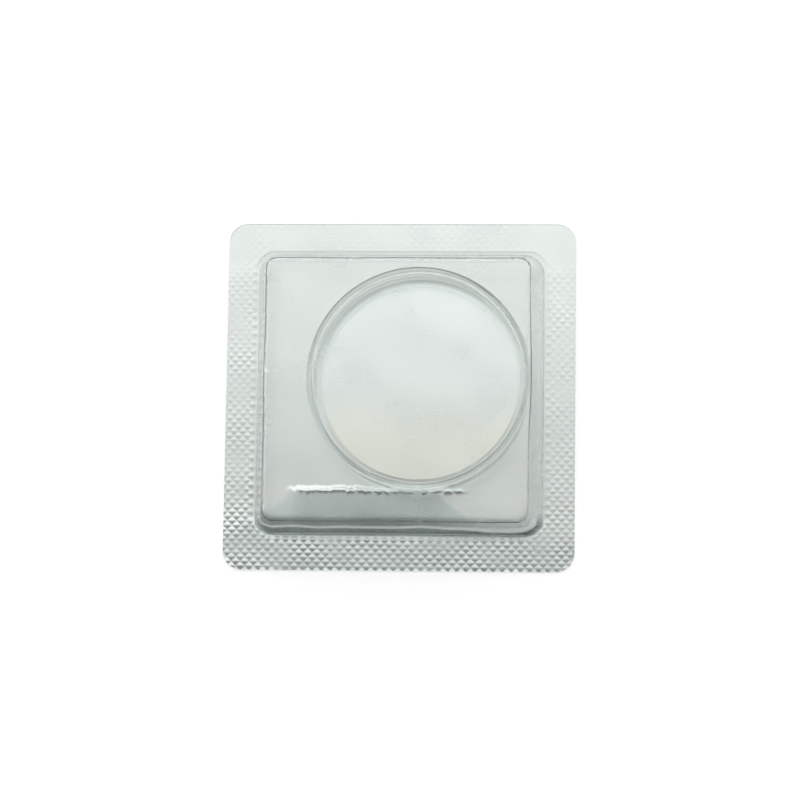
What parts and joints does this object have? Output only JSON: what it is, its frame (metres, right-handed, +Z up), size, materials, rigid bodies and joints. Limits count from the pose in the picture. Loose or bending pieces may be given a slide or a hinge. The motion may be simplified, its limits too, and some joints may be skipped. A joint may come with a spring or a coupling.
{
  "type": "petri dish",
  "caption": "Shallow round clear dish with a loose overlapping lid, lying in a square clear blister cup on an aluminium lidding foil with a knurled sealing flange.",
  "frame": {"origin": "middle of the pack on the underside of its lidding foil, which is the face that rests on the bench", "axes": "+Z up out of the foil towards the cup's flat top; +Y towards the back edge, where the pack stays joined when it is peeled open; +X to the right, towards the wall that the dish lies against"},
  "size_m": [0.055, 0.055, 0.0087],
  "materials": {
    "foil": "satin rolled foil, knurled where it is sealed",
    "film": "clear thermoformed film, glossy, slightly wavy",
    "polystyrene_base": "clear moulded polystyrene, glossy",
    "polystyrene_lid": "clear moulded polystyrene, glossy"
  },
  "bodies": {
    "foil": {"lidding_foil": "foil"},
    "shell": {"blister_shell": "film"},
    "base": {"dish_base": "polystyrene_base"},
    "lid": {"dish_lid": "polystyrene_lid"}
  },
  "joints": [
    {"name": "shell_open", "type": "hinge", "parent": "foil", "child": "shell", "pos_m": [0, 0.0275, 0.00038], "axis": [-1, 0, 0], "range_deg": [0, 120]},
    {"name": "dish_shift", "type": "slide", "parent": "foil", "child": "base", "axis": [1, 0, 0], "range_m": [-0.0063, 0]},
    {"name": "lid_lift", "type": "slide", "parent": "base", "child": "lid", "axis": [0, 0, 1], "range_m": [0, 0.0141]}
  ],
  "couplings": [
    {"joint": "lid_lift", "follows": "shell_open", "m_per_rad": 0.0066845}
  ]
}
